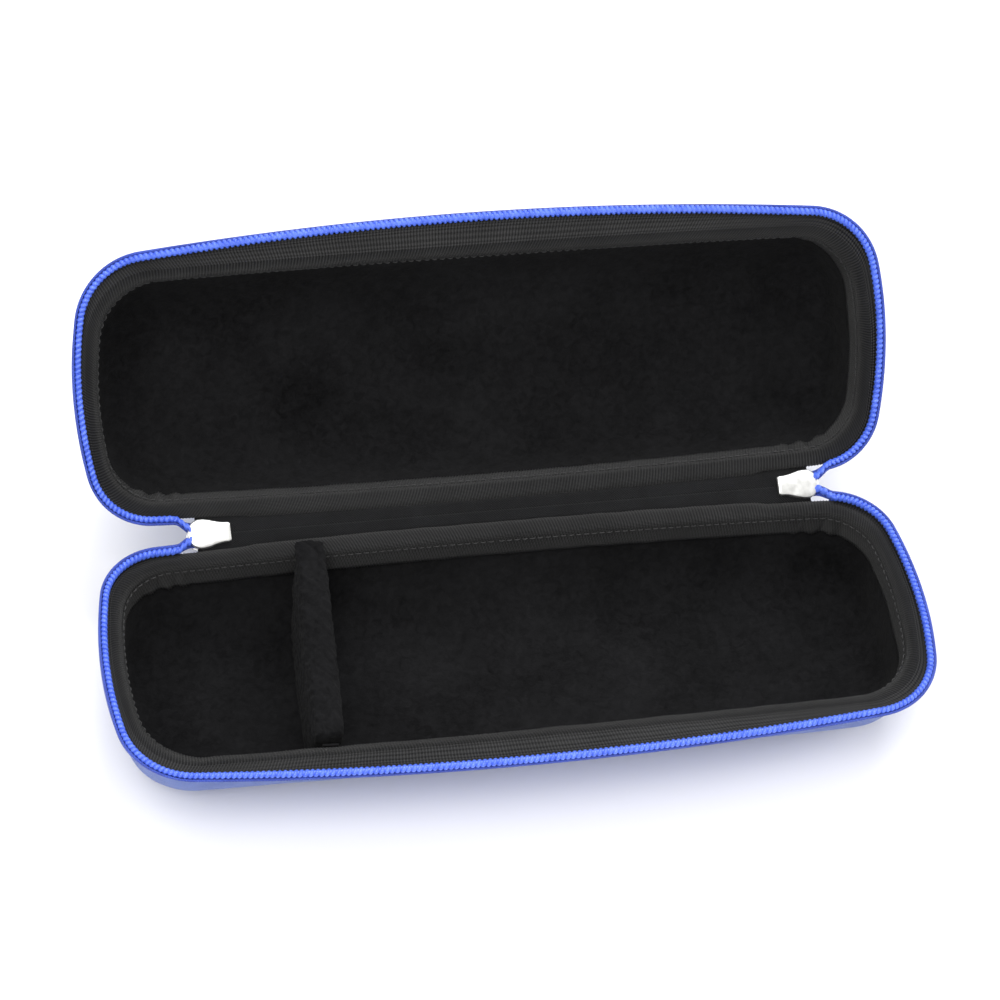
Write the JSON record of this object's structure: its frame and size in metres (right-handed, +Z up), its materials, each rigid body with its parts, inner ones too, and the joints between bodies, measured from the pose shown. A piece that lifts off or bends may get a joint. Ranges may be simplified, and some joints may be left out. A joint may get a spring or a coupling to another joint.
{
  "type": "telescope carry case",
  "caption": "Long zipped carry case in two moulded, plush-lined halves that open like a book, with a movable padded divider, for a small hand telescope.",
  "frame": {"origin": "middle of the flat bottom of the base half, on the table", "axes": "+X along the length of the case, +Y towards the fabric hinge and the lid, +Z up; the case is stored open"},
  "size_m": [0.26, 0.1664, 0.1068],
  "materials": {
    "blue_nylon": "fine woven nylon with a soft sheen",
    "foam_shell": "moulded closed-cell foam",
    "black_plush": "short brushed pile",
    "black_ribbed_tape": "ribbed binding tape with a faint sheen",
    "blue_zip_tape": "woven zip tape",
    "blue_zip_coil": "moulded nylon coil",
    "black_hinge_cloth": "plain woven cloth",
    "slider_nickel": "nickel plate, lightly brushed",
    "foam_core": "soft open-cell foam",
    "black_hook_tape": "hook tape"
  },
  "bodies": {
    "base": {"base_outer_fabric": "blue_nylon", "base_shell": "foam_shell", "base_lining": "black_plush", "base_binding": "black_ribbed_tape", "base_zip_tape": "blue_zip_tape", "base_zip_coil": "blue_zip_coil", "base_zip_tail_left": "blue_zip_coil", "base_zip_tail_right": "blue_zip_coil", "base_hinge_flap": "black_hinge_cloth"},
    "hinge_strip": {"hinge_strip_inner": "black_hinge_cloth", "hinge_strip_outer": "black_hinge_cloth", "slider_left": "slider_nickel", "slider_bail_left": "slider_nickel", "chain_end_left": "blue_zip_coil", "end_stop_left": "slider_nickel", "slider_right": "slider_nickel", "slider_bail_right": "slider_nickel", "chain_end_right": "blue_zip_coil", "end_stop_right": "slider_nickel"},
    "lid": {"lid_outer_fabric": "blue_nylon", "lid_shell": "foam_shell", "lid_lining": "black_plush", "lid_binding": "black_ribbed_tape", "lid_zip_tape": "blue_zip_tape", "lid_zip_coil": "blue_zip_coil", "lid_zip_tail_left": "blue_zip_coil", "lid_zip_tail_right": "blue_zip_coil", "lid_hinge_flap": "black_hinge_cloth"},
    "divider": {"divider_cover": "black_plush", "divider_core": "foam_core", "divider_hook_front": "black_hook_tape", "divider_hook_rear": "black_hook_tape"},
    "pull_left": {"pull_tab_left": "slider_nickel"},
    "pull_right": {"pull_tab_right": "slider_nickel"}
  },
  "joints": [
    {"name": "base_fold", "type": "hinge", "parent": "base", "child": "hinge_strip", "pos_m": [0, 0.045, 0.0335], "axis": [1, 0, 0], "range_deg": [0, 66], "deforming": ["base_zip_tail_left", "base_zip_tail_right"]},
    {"name": "lid_fold", "type": "hinge", "parent": "hinge_strip", "child": "lid", "pos_m": [0, 0.0514, 0.03635], "axis": [1, 0, 0], "range_deg": [0, 66], "deforming": ["lid_zip_tail_left", "lid_zip_tail_right"]},
    {"name": "divider_slide", "type": "slide", "parent": "base", "child": "divider", "axis": [1, 0, 0], "range_m": [-0.022, 0.135]},
    {"name": "pull_left_swing", "type": "hinge", "parent": "hinge_strip", "child": "pull_left", "pos_m": [-0.0906, 0.05064, 0.02944], "axis": [0, 0.9135, 0.4067], "range_deg": [-85, 85]},
    {"name": "pull_right_swing", "type": "hinge", "parent": "hinge_strip", "child": "pull_right", "pos_m": [0.0998, 0.05064, 0.02944], "axis": [0, 0.9135, 0.4067], "range_deg": [-85, 85]}
  ],
  "couplings": [
    {"joint": "lid_fold", "follows": "base_fold", "ratio": 1}
  ]
}
